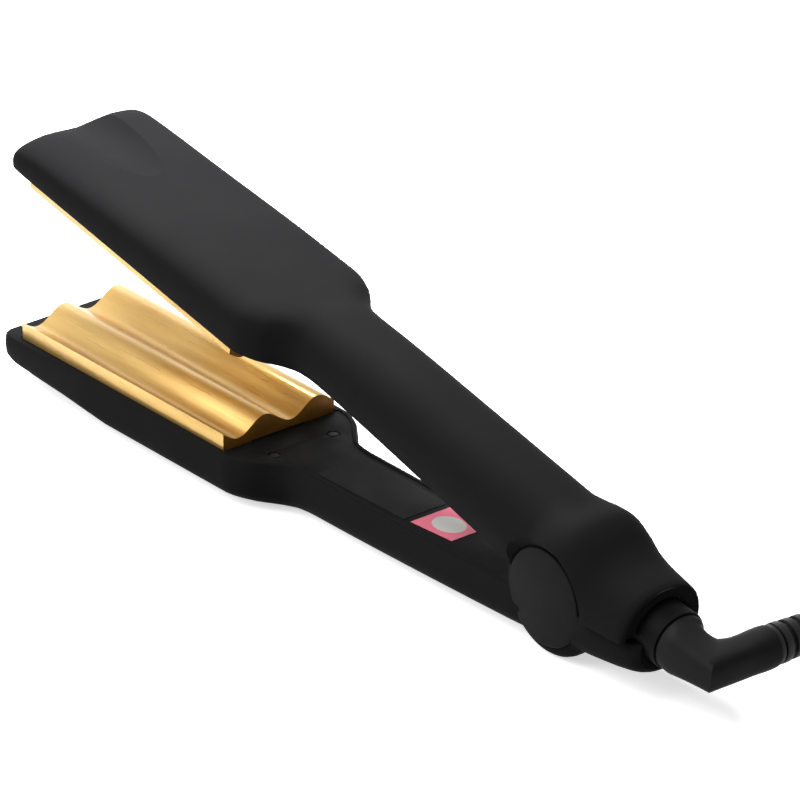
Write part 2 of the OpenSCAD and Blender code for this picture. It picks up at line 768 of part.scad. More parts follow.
// Elbow corner: chamfered block about the point where the legs meet.
module elbow_corner() {
    flat = elbow_w * 0.6;
    translate([elbow_leg, 0, 0]) {
        cube([elbow_w, elbow_w, flat], center = true);
        cube([flat, flat, elbow_w], center = true);
    }
}
module swivel_elbow() {
    color("black") {
        on_collar()
            translate([collar_out + 0.3, 0, 0]) {
                hull() {
                    rotate([0, 90, 0])
                        cylinder(r = collar_r - 0.4, h = 1.5, $fn = 32);
                    elbow_corner();
                }
                hull() {
                    elbow_corner();
                    translate([elbow_leg, elbow_reach, 0])
                        rotate([90, 0, 0])
                            cylinder(r = elbow_end_r, h = 1, $fn = 32);
                }
            }
            // Stem through the collar, with a groove for its clip.
            on_collar()
                rotate([0, 90, 0])
                    rotate_extrude($fn = 64)
                        polygon([
                            [0, -collar_in - 3.4], [stem_r - 0.6, -collar_in - 3.4],
                            [stem_r, -collar_in - 2.8], [stem_r, -collar_in - clip_t - 0.35],
                            [stem_r - 0.8, -collar_in - clip_t - 0.35], [stem_r - 0.8, -collar_in - 0.3],
                            [stem_r, -collar_in - 0.3], [stem_r, collar_out + 0.9], [0, collar_out + 0.9]
                        ]);
        }
}
module swivel_stem_clip() {
    color("silver")
        on_collar()
            translate([-collar_in - 0.3 - clip_t, 0, 0])
                rotate([0, 90, 0])
                    difference() {
                        cylinder(r = clip_r, h = clip_t, $fn = 64);
                        translate([0, 0, -1])
                            cylinder(r = stem_r - 0.8 + 0.03, h = clip_t + 2, $fn = 64);
                        translate([0, -1.5, -1])
                            cube([10, 3, clip_t + 2]);
                    }
}
// Ribbed relief along +Y from the end of the elbow.
module on_lead_exit() {
    on_collar()
        translate([collar_out + 0.3 + elbow_leg, elbow_reach, 0])
            children();
}
module strain_relief() {
    tip_r = cord_d / 2 + 0.9;
    pitch = (relief_len - 4) / relief_ribs;
    function core(t) = mix(relief_r - 1.1, tip_r - 0.5, t);
    function rib(t) = mix(relief_r, tip_r + 0.3, t);
    ribs = [for (i = [0:relief_ribs - 1]) let (z = 2 + i * pitch, t = (i + 0.5) / relief_ribs)
        each [[core(t), z], [rib(t), z + 0.3], [rib(t), z + pitch * 0.6], [core(t), z + pitch * 0.6 + 0.3]]];
    color("black")
        on_lead_exit()
            rotate([-90, 0, 0])
                rotate_extrude($fn = 48)
                    polygon(concat([[0, 0], [elbow_end_r - 0.3, 0], [elbow_end_r - 0.3, 1.4]], ribs,
                        [[tip_r, relief_len], [0, relief_len]]));
}

// ---- Mains lead ----
// It leaves the relief along +Y, drops to the surface and winds into a coil of four
// layers that is held by a tie. Its end curls over the coil to the plug, which lies on it.
lead_r = cord_d / 2;
exit_x = tail_x + (collar_out + 0.3 + elbow_leg) * cos(collar_tilt);
exit_y = elbow_reach + relief_len;
exit_z = collar_z - (collar_out + 0.3 + elbow_leg) * sin(collar_tilt);
// From the relief: along Y, sideways drift, share of the drop.
lead_route = [
    [0, 0, 0], [2.5, 0, 0], [5, 0, 0], [10, 0.49, 0.045], [16, 2.07, 0.194], [22, 4.18, 0.404],
    [28, 6.24, 0.634], [34, 7.67, 0.837], [39, 8, 0.955], [43, 8, 0.998], [46, 8, 1]
];
// From the coil: on along its last turn, inwards over the coil, share of the rise.
end_route = [
    [0, 0, 0], [2.5, 0, 0.036], [6.12, 0.48, 0.1], [10.53, 2.53, 0.27], [14.24, 6.37, 0.56],
    [16.29, 11.57, 0.86], [16.5, 15.5, 0.98], [16.5, 18, 1], [16.5, 20.5, 1]
];
low_z = lead_r + tie_t + 0.1;
layer_h = cord_d + 0.5;
coil_pitch = cord_d + coil_gap;
coil_layers = 4;
coil_total = coil_layers * coil_turns;
function rounded(t) = sqrt(t * t + 0.02);
// Turns between a place on the coil and the coil's inside, t counted in turns.
function turns_out(t) =
    rounded(t - coil_turns) - rounded(t - 2 * coil_turns) + rounded(t - 3 * coil_turns)
        - coil_turns;
function coil_r(t) = coil_in_r + coil_pitch * turns_out(t);
// Layers climbed at t: each climb takes half a turn, and the last ends on the lead's end.
function layers_up(t) = ease(2 * (t - coil_turns) + 0.5) + ease(2 * (t - 2 * coil_turns) + 0.5)
    + ease(2 * (t - 3 * coil_turns) + 0.5) + ease(2 * (t - coil_total) + 0.5);
coil_out_r = coil_r(0);
lead_end_x = exit_x + lead_route[len(lead_route) - 1][1];
coil_x = lead_end_x - coil_out_r;
coil_y = exit_y + lead_route[len(lead_route) - 1][0] + cord_d;
coil_top = low_z + (coil_layers - 1) * layer_h + lead_r;
end_turn = 360 * coil_total;
end_along = [-sin(end_turn), cos(end_turn), 0];
end_inward = [-cos(end_turn), -sin(end_turn), 0];
plug_z = coil_top + 0.4 + plug_t / 2;

function unit(v) = v / norm(v);
// Point at t on a smooth line through a route's points, t counted in points.
function along(route, t) =
    let (n = len(route) - 1, i = clamp(floor(t), 0, n - 1), u = t - i)
    let (a = route[max(i - 1, 0)], b = route[i], c = route[i + 1], d = route[min(i + 2, n)])
    b + 0.5 * u * (c - a + u * (2 * a - 5 * b + 4 * c - d + u * (3 * (b - c) + d - a)));
// Round tube along a line of points, its ends square to it.
module tube(line, r, sides) {
    n = len(line) - 1;
    skin([for (i = [0:n])
        let (way = unit(line[min(i + 1, n)] - line[max(i - 1, 0)]))
        let (side = unit(cross(way, [0, 0, 1])), up = cross(side, way))
        [for (k = [0:sides - 1]) let (a = 360 * (k + 0.5) / sides)
            line[i] + r * (cos(a) * side + sin(a) * up)]]);
}
function lead_point(t) =
    let (p = along(lead_route, t))
    [exit_x + p[1], exit_y + p[0], mix(exit_z, low_z, p[2])];
function coil_point(t) =
    [coil_x + coil_r(t) * cos(360 * t), coil_y + coil_r(t) * sin(360 * t),
        low_z + layer_h * layers_up(t)];
coil_end = coil_point(coil_total) + cord_d * end_along + [0, 0, 0.6];
function end_point(t) =
    let (p = along(end_route, t))
    coil_end + p[0] * end_along + p[1] * end_inward + [0, 0, (plug_z - coil_end[2]) * p[2]];
coil_steps = 24;
coil_n = round(coil_total * coil_steps);
coil_line = concat(
    [[lead_end_x, coil_y - cord_d, low_z]],
    [for (i = [0:coil_n]) coil_point(coil_total * i / coil_n)],
    [coil_end]
);
// Least distance between the coil's loops, over every pair that passes one place.
coil_gaps = [for (i = [1:coil_n - coil_steps], k = [1:floor((coil_n - i) / coil_steps)])
    norm(coil_line[i + k * coil_steps] - coil_line[i]) - cord_d];
echo(str("least gap between the coil's loops: ", min(coil_gaps)));

module mains_lead() {
    n = 20;
    m = len(lead_route) - 1;
    color("black")
        tube([for (i = [0:n]) lead_point(m * i / n)], lead_r, 10);
}
module lead_coil() {
    color("black")
        tube(coil_line, lead_r, 6);
}
module lead_end() {
    n = 26;
    m = len(end_route) - 1;
    color("black")
        tube([for (i = [0:n]) end_point(m * i / n)], lead_r, 10);
}
// Band round all the layers, on the side that the plug leaves free.
module coil_tie() {
    in_r = coil_in_r - lead_r - 0.6;
    out_r = coil_out_r + lead_r + 0.6;
    top = coil_top + 0.4;
    function ring(t) = [
        [in_r - t, tie_t - t + 2], [in_r - t + 2, tie_t - t], [out_r + t - 2, tie_t - t],
        [out_r + t, tie_t - t + 2], [out_r + t, top + t - 2], [out_r + t - 2, top + t],
        [in_r - t + 2, top + t], [in_r - t, top + t - 2]
    ];
    color("dimgray")
        translate([coil_x, coil_y, 0])
            rotate([90, 0, end_turn - 120])
                translate([0, 0, -tie_w / 2])
                    linear_extrude(height = tie_w)
                        difference() {
                            polygon(ring(tie_t));
                            polygon(ring(0));
                        }
}

// Plug lying flat on the coil, its length straight across it.
plug_relief_len = 18;
module on_plug() {
    translate(end_point(len(end_route) - 1))
        rotate([0, 0, end_turn + 180])
            children();
}
module plug_relief() {
    rings = 4;
    pitch = (plug_relief_len - 3) / rings;
    function core(t) = mix(lead_r + 0.4, 4.6, t);
    ribs = [for (i = [0:rings - 1]) let (x = 1.5 + i * pitch, t = (i + 0.5) / rings)
        each [[core(t), x], [core(t) + 0.7, x + 0.3], [core(t) + 0.7, x + 0.6 * pitch],
            [core(t), x + 0.6 * pitch + 0.3]]];
    color("black")
        on_plug()
            rotate([0, 90, 0])
                rotate_extrude($fn = 40)
                    polygon(concat([[0, 0], [lead_r + 0.5, 0]], ribs,
                        [[5.4, plug_relief_len], [0, plug_relief_len]]));
}
module plug_body() {
    w = plug_w / 2;
    t = plug_t / 2;
    color("black")
        on_plug()
            translate([plug_relief_len, 0, 0])
                intersection() {
                    translate([0, 0, -t])
                        linear_extrude(height = plug_t)
                            polygon([
                                [0, -6], [3, -8], [plug_len * 0.45, -w * 0.8], [plug_len * 0.62, -w],
                                [plug_len - 1, -w], [plug_len, -w + 1], [plug_len, w - 1],
                                [plug_len - 1, w], [plug_len * 0.62, w], [plug_len * 0.45, w * 0.8],
                                [3, 8], [0, 6]
                            ]);
                    translate([0, w, 0])
                        rotate([90, 0, 0])
                            linear_extrude(height = plug_w)
                                polygon([
                                    [0, -5.8], [3, -t + 0.4], [6, -t], [plug_len - 1, -t], [plug_len, -t + 1],
                                    [plug_len, t - 1], [plug_len - 1, t], [6, t], [3, t - 0.4], [0, 5.8]
                                ]);
                    translate([0, 0, 0])
                        rotate([90, 0, 90])
                            linear_extrude(height = plug_len)
                                polygon([
                                    [-w, -t + 4.5], [-w + 2.6, -t], [w - 2.6, -t], [w, -t + 4.5],
                                    [w, t - 4.5], [w - 2.6, t], [-w + 2.6, t], [-w, t - 4.5]
                                ]);
                }
}
module plug_pins() {
    r = plug_pin_d / 2;
    color("silver")
        on_plug()
            for (side = [-1, 1])
                translate([plug_relief_len + plug_len, side * plug_pitch / 2, 0])
                    rotate([0, 90, -side * 1.3])
                        rotate_extrude($fn = 32)
                            polygon([
                                [0, 0], [r - 0.1, 0], [r - 0.1, plug_pin_len * 0.52], [r, plug_pin_len * 0.53],
                                [r, plug_pin_len - 1.5], [r - 0.5, plug_pin_len - 0.5],
                                [r - 1.1, plug_pin_len], [0, plug_pin_len]
                            ]);
}

lower_casing();
lower_inner_cover();
lower_wave_plate();
lower_plate_holder();
lower_heater();
lower_heater_spring();
lower_cover_screws();
thermal_fuse();
blank_label();
quality_sticker();
hinge_pin();
near_hinge_cap();
far_hinge_cap();
opening_spring();
swivel_collar();
upper_casing();
upper_inner_cover();
upper_wave_plate();
upper_plate_holder();
upper_heater();
upper_heater_spring();
upper_cover_screws();
swivel_elbow();
swivel_stem_clip();
strain_relief();
mains_lead();
lead_coil();
lead_end();
coil_tie();
plug_body();
plug_relief();
plug_pins();
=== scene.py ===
"""Hair crimper: finishes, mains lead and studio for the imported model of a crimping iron."""

import math

import bmesh
import bpy
from mathutils import Matrix, Vector


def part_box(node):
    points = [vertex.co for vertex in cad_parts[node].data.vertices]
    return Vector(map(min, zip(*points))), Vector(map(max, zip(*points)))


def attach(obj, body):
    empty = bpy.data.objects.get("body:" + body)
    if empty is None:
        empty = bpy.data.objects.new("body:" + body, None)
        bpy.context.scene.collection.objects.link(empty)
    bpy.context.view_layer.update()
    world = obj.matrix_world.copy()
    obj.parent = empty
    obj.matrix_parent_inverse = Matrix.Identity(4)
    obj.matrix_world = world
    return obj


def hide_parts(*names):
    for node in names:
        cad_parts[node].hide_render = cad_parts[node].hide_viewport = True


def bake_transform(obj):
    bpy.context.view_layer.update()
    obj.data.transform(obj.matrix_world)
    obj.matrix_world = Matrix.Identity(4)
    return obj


bl_info = {
    "name": "Hair crimper",
    "version": (1, 0, 0),
    "blender": (4, 5, 0),
    "location": "View3D > Sidebar > Crimper",
    "description": "Finishes the parts of a hair crimper and lays out its mains lead",
    "category": "Object",
}

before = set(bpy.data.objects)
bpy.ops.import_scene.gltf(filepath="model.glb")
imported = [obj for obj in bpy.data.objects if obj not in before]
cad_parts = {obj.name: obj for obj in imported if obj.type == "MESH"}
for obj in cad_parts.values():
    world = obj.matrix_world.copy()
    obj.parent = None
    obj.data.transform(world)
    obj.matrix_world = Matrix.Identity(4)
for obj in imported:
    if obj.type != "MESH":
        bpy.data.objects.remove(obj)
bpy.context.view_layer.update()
MM = 0.001


# ---- Places of the joints, in mm ----

# The hinge pin, the angle between the arms at rest, and the swivel's middle with its tilt.
HINGE = Vector((189.8, 0, 19.4))
OPEN = math.radians(11.3)
TAIL = Vector((231.3, 0, 20.4))
TILT = math.radians(9.5)
COLLAR_R = 9.5
# Finger scoop on the closed upper head: its open end, half sizes and the bump of its bank.
# The ellipse runs straight up and down, so its height is as good as endless.
SCOOP_TIP = Vector((-57, 0, 0))
SCOOP_HALF = Vector((40, 11.5, 10000))
SCOOP_BANK = 4.0
# The swivel's axis, straight across it, and up from it.
AXIS = Vector((math.cos(TILT), 0, -math.sin(TILT)))
SIDE = Vector((0, 1, 0))
ABOVE = Vector((-AXIS.z, 0, AXIS.x))


def at_collar(along_axis, across, up):
    """Point in metres from its place in the swivel's own directions."""
    return (TAIL + AXIS * along_axis + SIDE * across + ABOVE * up) * MM


def mix(a, b, t):
    """From a at t = 0 to b at t = 1."""
    return a + (b - a) * t


# ---- Colour and nodes ----


def srgb(code):
    """Linear RGBA of an sRGB hex colour such as "1d1d1f"."""
    values = [int(code[i : i + 2], 16) / 255 for i in (0, 2, 4)]
    linear = [v / 12.92 if v <= 0.04045 else ((v + 0.055) / 1.055) ** 2.4 for v in values]
    return (*linear, 1.0)


def add(tree, kind, settings=None, **sockets):
    """Adds a node, sets its properties, and sets or links the sockets named (spaces as _)."""
    node = tree.nodes.new(kind)
    for key, value in (settings or {}).items():
        setattr(node, key, value)
    for key, value in sockets.items():
        name = key.replace("_", " ")
        socket = node.inputs[int(name[1:])] if name[1:].isdigit() else node.inputs[name]
        if isinstance(value, bpy.types.NodeSocket):
            tree.links.new(value, socket)
        else:
            socket.default_value = value
    return node


def empty_tree(owner):
    """Turns on the node tree of a material or world and empties it."""
    owner.use_nodes = True
    owner.node_tree.nodes.clear()
    return owner.node_tree


def blank_material(name, **values):
    """A material whose tree holds an output and one principled shader with the values given."""
    material = bpy.data.materials.new(name)
    tree = empty_tree(material)
    shader = add(tree, "ShaderNodeBsdfPrincipled", **values)
    add(tree, "ShaderNodeOutputMaterial", Surface=shader.outputs[0])
    return material, tree, shader


def place(tree, scale=(1, 1, 1)):
    """Places in the shared frame in metres, stretched by scale."""
    where = add(tree, "ShaderNodeTexCoord").outputs["Object"]
    return add(tree, "ShaderNodeMapping", Vector=where, Scale=scale).outputs[0]


def tint(tree, shader, code, other, size_mm, seed=0.0, stretch=(1, 1, 1)):
    """Base colour that drifts between two near shades in patches of size_mm."""
    noise = add(
        tree, "ShaderNodeTexNoise", {"noise_dimensions": "4D"},
        Vector=place(tree, stretch), W=seed, Scale=1 / (size_mm * MM), Detail=3.0,
    )
    mixed = add(
        tree, "ShaderNodeMix", {"data_type": "RGBA"},
        _0=noise.outputs[0], _6=srgb(code), _7=srgb(other),
    )
    tree.links.new(mixed.outputs[2], shader.inputs["Base Color"])


def uneven(tree, shader, socket, low, high, size_mm, seed=1.0, stretch=(1, 1, 1)):
    """Drives one of the shader's values between low and high in patches of size_mm."""
    noise = add(
        tree, "ShaderNodeTexNoise", {"noise_dimensions": "4D"},
        Vector=place(tree, stretch), W=seed, Scale=1 / (size_mm * MM), Detail=2.0,
    )
    spread = add(
        tree, "ShaderNodeMapRange",
        Value=noise.outputs[0], From_Min=0.3, From_Max=0.7, To_Min=low, To_Max=high,
    )
    tree.links.new(spread.outputs[0], shader.inputs[socket])


def grained(tree, shader, size_mm, depth_mm, strength, seed, stretch=(1, 1, 1), detail=2.0):
    """Fine relief in the surface, of a real size and depth; returns its normal."""
    noise = add(
        tree, "ShaderNodeTexNoise", {"noise_dimensions": "4D"},
        Vector=place(tree, stretch), W=seed, Scale=1 / (size_mm * MM), Detail=detail,
    )
    bump = add(
        tree, "ShaderNodeBump",
        Height=noise.outputs[0], Distance=depth_mm * MM, Strength=strength,
    )
    tree.links.new(bump.outputs[0], shader.inputs["Normal"])
    return bump.outputs[0]


# ---- Finishes ----


def scoop_bank(tree, shader, spray):
    """Crisp bank round the finger scoop: an ellipse on the upper head, open at its tip."""
    # The turn round the hinge that closes the arm, and the shift that goes with it.
    shift = HINGE - Matrix.Rotation(-OPEN, 3, "Y") @ HINGE
    closed = add(
        tree, "ShaderNodeMapping",
        Vector=place(tree), Rotation=(0, -OPEN, 0), Location=tuple(shift * MM),
    )
    near = add(
        tree, "ShaderNodeVectorMath", {"operation": "SUBTRACT"},
        _0=closed.outputs[0], _1=tuple(SCOOP_TIP * MM),
    )
    unit = add(
        tree, "ShaderNodeVectorMath", {"operation": "DIVIDE"},
        _0=near.outputs[0], _1=tuple(SCOOP_HALF * MM),
    )
    square = add(
        tree, "ShaderNodeVectorMath", {"operation": "DOT_PRODUCT"},
        _0=unit.outputs[0], _1=unit.outputs[0],
    )
    bank = add(
        tree, "ShaderNodeMath", {"operation": "MINIMUM"}, _0=square.outputs["Value"], _1=1.0
    )
    bump = add(
        tree, "ShaderNodeBump",
        Height=bank.outputs[0], Distance=SCOOP_BANK * MM, Normal=spray,
    )
    tree.links.new(bump.outputs[0], shader.inputs["Normal"])


def soft_touch_abs(code, scooped=False):
    """ABS moulding with a soft-touch lacquer: deep black with a broad, veiled sheen."""
    material, tree, shader = blank_material(
        "soft_touch_lacquered_ABS", IOR=1.42, Specular_IOR_Level=0.04
    )
    tint(tree, shader, code, "1c1c1d", size_mm=35, seed=0.3)
    uneven(tree, shader, "Roughness", 0.7, 0.76, size_mm=18, seed=4.0)
    # Spray grain of about 0.2 mm, drawn at 0.7 mm so that it shows.
    spray = grained(tree, shader, size_mm=0.7, depth_mm=0.006, strength=0.5, seed=5.0)
    if scooped:
        scoop_bank(tree, shader, spray)
    return material


def moulded_abs(code):
    """Plain ABS straight from a spark-eroded tool: black, finely pitted, a little duller."""
    material, tree, shader = blank_material(
        "spark_textured_ABS", IOR=1.53, Specular_IOR_Level=0.07
    )
    tint(tree, shader, code, "0f0f10", size_mm=20, seed=1.3)
    uneven(tree, shader, "Roughness", 0.62, 0.72, size_mm=9, seed=2.0)
    grained(tree, shader, size_mm=0.5, depth_mm=0.012, strength=0.6, seed=7.0, detail=4.0)
    return material


def polished_abs(code, other):
    """ABS from a smoother tool, as on hinge caps and the swivel: a tighter sheen."""
    material, tree, shader = blank_material(
        "smooth_moulded_ABS", IOR=1.53, Specular_IOR_Level=0.05
    )
    tint(tree, shader, code, other, size_mm=25, seed=2.3)
    uneven(tree, shader, "Roughness", 0.5, 0.58, size_mm=12, seed=3.0)
    grained(tree, shader, size_mm=0.9, depth_mm=0.004, strength=0.4, seed=9.0)
    return material


def gold_coated_aluminium(code):
    """Extruded aluminium under a gold-pigmented ceramic coat: matt, warm, faintly streaked."""
    material, tree, shader = blank_material("gold_ceramic_coated_aluminium", Metallic=0.6)
    tint(tree, shader, code, "9c7029", size_mm=5, seed=0.7, stretch=(0.12, 1, 1))
    # Lines of the extrusion under the coat, 0.1 mm apart, drawn at 0.35 mm.
    uneven(tree, shader, "Roughness", 0.26, 0.4, size_mm=0.9, seed=6.0, stretch=(0.04, 1, 1))
    grained(
        tree, shader, size_mm=0.35, depth_mm=0.004, strength=0.5, seed=8.0,
        stretch=(0.04, 1, 1),
    )
    return material


def painted_shade_gold_end():
    """The same coat on the plates' sawn rear ends: painted darker and browner as shade, duller,
    with a bump of saw marks.
    """
    material, tree, shader = blank_material(
        "gold_ceramic_coat_painted_shade", Metallic=0.3, Specular_IOR_Level=0.2
    )
    # Painted shade: a dark brown gold, with less metal and sheen, stands in for the shade on the
    # rear ends.
    tint(tree, shader, "94651f", "7a5119", size_mm=2, seed=4.6)
    uneven(tree, shader, "Roughness", 0.55, 0.7, size_mm=3, seed=6.6)
    grained(
        tree, shader, size_mm=0.6, depth_mm=0.01, strength=0.5, seed=5.7,
        stretch=(1, 1, 0.2),
    )
    return material


def glass_filled_nylon():
    """Heat-proof nylon with glass fibre: brown-black, dull, streaked by its fibres."""
    material, tree, shader = blank_material("glass_filled_nylon", IOR=1.53)
    tint(tree, shader, "2a2420", "352d27", size_mm=3, seed=3.1, stretch=(0.3, 1, 1))
    uneven(tree, shader, "Roughness", 0.6, 0.72, size_mm=2, seed=2.4)
    grained(
        tree, shader, size_mm=0.4, depth_mm=0.02, strength=0.5, seed=4.4,
        stretch=(0.2, 1, 1),
    )
    return material


def sintered_ceramic():
    """Pressed and fired alumina: off-white, dry, faintly grainy."""
    material, tree, shader = blank_material("sintered_alumina", IOR=1.76)
    tint(tree, shader, "d8d2c4", "cbc4b4", size_mm=4, seed=5.2)
    uneven(tree, shader, "Roughness", 0.5, 0.62, size_mm=2, seed=1.1)
    grained(tree, shader, size_mm=0.3, depth_mm=0.01, strength=0.5, seed=3.3)
    return material


def drawn_steel(name, code, rough):
    """Drawn or rolled steel: grey metal with faint lines along the draw."""
    material, tree, shader = blank_material(name, Metallic=1.0)
    tint(tree, shader, code, "8f9092", size_mm=3, seed=6.2, stretch=(1, 1, 0.2))
    uneven(tree, shader, "Roughness", rough, rough + 0.12, size_mm=1.5, seed=1.7)
    grained(
        tree, shader, size_mm=0.25, depth_mm=0.003, strength=0.4, seed=2.2,
        stretch=(0.2, 1, 1),
    )
    return material


def blackened_screw_steel():
    """Zinc-plated steel under a black passivation, which hides most of the metal's shine."""
    material, tree, shader = blank_material(
        "black_passivated_steel", Metallic=0.15, Specular_IOR_Level=0.1
    )
    tint(tree, shader, "070708", "0e0e0f", size_mm=0.8, seed=7.7)
    uneven(tree, shader, "Roughness", 0.4, 0.6, size_mm=0.8, seed=3.7)
    return material


def rating_film(code):
    """Matt polyester label film, bare of print: a shade greyer than the cover under it."""
    material, tree, shader = blank_material(
        "matt_polyester_film", IOR=1.57, Specular_IOR_Level=0.05
    )
    tint(tree, shader, code, "101011", size_mm=9, seed=8.1)
    uneven(tree, shader, "Roughness", 0.56, 0.62, size_mm=12, seed=5.5)
    grained(tree, shader, size_mm=1.2, depth_mm=0.004, strength=0.4, seed=6.1)
    return material


def coated_paper(code, field, middle, half):
    """Coated paper sticker: flat pink round an unprinted pale oval with a soft edge."""
    material, tree, shader = blank_material(
        "coated_paper_sticker", Specular_IOR_Level=0.25, Roughness=0.42
    )
    where = add(tree, "ShaderNodeTexCoord").outputs["Object"]
    near = add(tree, "ShaderNodeVectorMath", {"operation": "SUBTRACT"}, _0=where, _1=middle)
    unit = add(tree, "ShaderNodeVectorMath", {"operation": "DIVIDE"}, _0=near.outputs[0], _1=half)
    radius = add(tree, "ShaderNodeVectorMath", {"operation": "LENGTH"}, _0=unit.outputs[0])
    inside = add(
        tree, "ShaderNodeMapRange",
        Value=radius.outputs["Value"], From_Min=1.03, From_Max=0.97, To_Min=0.0, To_Max=1.0,
    )
    fibres = add(
        tree, "ShaderNodeTexNoise", {"noise_dimensions": "4D"},
        Vector=place(tree), W=4.1, Scale=1 / (2.5 * MM), Detail=2.0,
    )
    pink = add(
        tree, "ShaderNodeMix", {"data_type": "RGBA"},
        _0=fibres.outputs[0], _6=srgb(code), _7=srgb("ee7590"),
    )
    shown = add(
        tree, "ShaderNodeMix", {"data_type": "RGBA"},
        _0=inside.outputs[0], _6=pink.outputs[2], _7=srgb(field),
    )
    tree.links.new(shown.outputs[2], shader.inputs["Base Color"])
    grained(tree, shader, size_mm=0.4, depth_mm=0.003, strength=0.4, seed=3.9)
    return material


def extruded_pvc(code, name="extruded_PVC_sheath"):
    """Flexible PVC, extruded or moulded: black, slightly waxy."""
    material, tree, shader = blank_material(name, IOR=1.52, Specular_IOR_Level=0.2)
    tint(tree, shader, code, "161617", size_mm=12, seed=9.2)
    uneven(tree, shader, "Roughness", 0.42, 0.52, size_mm=6, seed=4.8)
    grained(tree, shader, size_mm=0.6, depth_mm=0.008, strength=0.5, seed=8.8)
    return material


def woven_band():
    """Hook-and-loop band: black nylon loops in rows 0.8 mm apart."""
    material, tree, shader = blank_material("woven_nylon_loop", Roughness=0.85, Sheen_Weight=0.4)
    tint(tree, shader, "1a1a1b", "2a2a2b", size_mm=0.8, seed=1.9)
    rows = add(tree, "ShaderNodeTexVoronoi", Vector=place(tree), Scale=1 / (0.8 * MM))
    bump = add(
        tree, "ShaderNodeBump",
        Height=rows.outputs["Distance"], Distance=0.15 * MM, Strength=0.8,
    )
    tree.links.new(bump.outputs[0], shader.inputs["Normal"])
    return material


def nickel_plate():
    """Nickel plate on brass pins: warm grey, bright."""
    material, tree, shader = blank_material("nickel_plated_brass", Metallic=1.0)
    tint(tree, shader, "c9c4b8", "bdb8ac", size_mm=2, seed=2.9)
    uneven(tree, shader, "Roughness", 0.18, 0.28, size_mm=1.5, seed=7.1)
    return material


# ---- Shaping helpers ----


def edge_group(degrees):
    """Node group that drops a solid's stored normals and keeps only its sharper edges sharp."""
    name = f"crisp_edges_{degrees}"
    if name in bpy.data.node_groups:
        return bpy.data.node_groups[name]
    group = bpy.data.node_groups.new(name, "GeometryNodeTree")
    group.interface.new_socket("Geometry", in_out="INPUT", socket_type="NodeSocketGeometry")
    group.interface.new_socket("Geometry", in_out="OUTPUT", socket_type="NodeSocketGeometry")
    source = add(group, "NodeGroupInput").outputs[0]
    bare = add(group, "GeometryNodeRemoveAttribute", Geometry=source, Name="custom_normal")
    faces = add(
        group, "GeometryNodeSetShadeSmooth", {"domain": "FACE"},
        Geometry=bare.outputs[0], Shade_Smooth=True,
    )
    angle = add(group, "GeometryNodeInputMeshEdgeAngle")
    sharp = add(
        group, "FunctionNodeCompare", {"data_type": "FLOAT", "operation": "GREATER_THAN"},
        A=angle.outputs[0], B=math.radians(degrees),
    )
    edges = add(
        group, "GeometryNodeSetShadeSmooth", {"domain": "EDGE"},
        Geometry=faces.outputs[0], Selection=sharp.outputs[0], Shade_Smooth=False,
    )
    add(group, "NodeGroupOutput", Geometry=edges.outputs[0])
    return group


def finish_edges(obj, bevel_mm=0.0, degrees=32):
    """Joins a solid's faces, breaks its sharp edges and shades the rest smooth."""
    weld = obj.modifiers.new("joined", "WELD")
    weld.merge_threshold = 0.002 * MM
    if bevel_mm:
        bevel = obj.modifiers.new("broken_edges", "BEVEL")
        bevel.width = bevel_mm * MM
        bevel.segments = 2
        bevel.limit_method = "ANGLE"
        bevel.angle_limit = math.radians(degrees + 3)
        bevel.use_clamp_overlap = True
    crisp = obj.modifiers.new("crisp", "NODES")
    crisp.node_group = edge_group(degrees)


def coat(obj, material):
    """Gives every face of an object one material."""
    obj.data.materials.clear()
    obj.data.materials.append(material)


def dress(nodes, material, bevel_mm=0.0, degrees=32):
    """Finishes CAD nodes with a material and their edges."""
    for name in nodes:
        coat(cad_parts[name], material)
        finish_edges(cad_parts[name], bevel_mm, degrees)


def new_piece(name, verts, faces, material, smooth=True):
    """A mesh object from points in metres."""
    mesh = bpy.data.meshes.new(name)
    mesh.from_pydata([tuple(v) for v in verts], [], faces)
    mesh.validate()
    if smooth:
        mesh.shade_smooth()
    obj = bpy.data.objects.new(name, mesh)
    bpy.context.scene.collection.objects.link(obj)
    mesh.materials.append(material)
    return obj


def loft(rings):
    """Faces between rings of points, with both ends closed."""
    n = len(rings[0])
    verts = [p for ring in rings for p in ring]
    faces = []
    for i in range(len(rings) - 1):
        for k in range(n):
            j = (k + 1) % n
            faces.append((i * n + k, i * n + j, (i + 1) * n + j, (i + 1) * n + k))
    faces.append(tuple(reversed(range(n))))
    faces.append(tuple(range((len(rings) - 1) * n, len(rings) * n)))
    return verts, faces


def outward(obj):
    """Turns an object's faces outwards."""
    cloth = bmesh.new()
    cloth.from_mesh(obj.data)
    bmesh.ops.recalc_face_normals(cloth, faces=cloth.faces)
    cloth.to_mesh(obj.data)
    cloth.free()
    return obj


# ---- Mains lead: its route, point for point as in the solids ----

# In mm: its diameter, and the gaps under the coil, between turns and layers, and over it.
CORD_D = 6.5
FLOOR_GAP = 0.6
TURN_GAP = 0.9
LAYER_GAP = 0.5
TOP_GAP = 0.4
PLUG_HALF = 6.8
EXIT = Vector((251.1244, 63.5, 17.0825))
# From the relief: along Y, sideways drift, share of the drop.
LEAD_ROUTE = [
    (0, 0, 0), (2.5, 0, 0), (5, 0, 0), (10, 0.49, 0.045), (16, 2.07, 0.194), (22, 4.18, 0.404),
    (28, 6.24, 0.634), (34, 7.67, 0.837), (39, 8, 0.955), (43, 8, 0.998), (46, 8, 1),
]
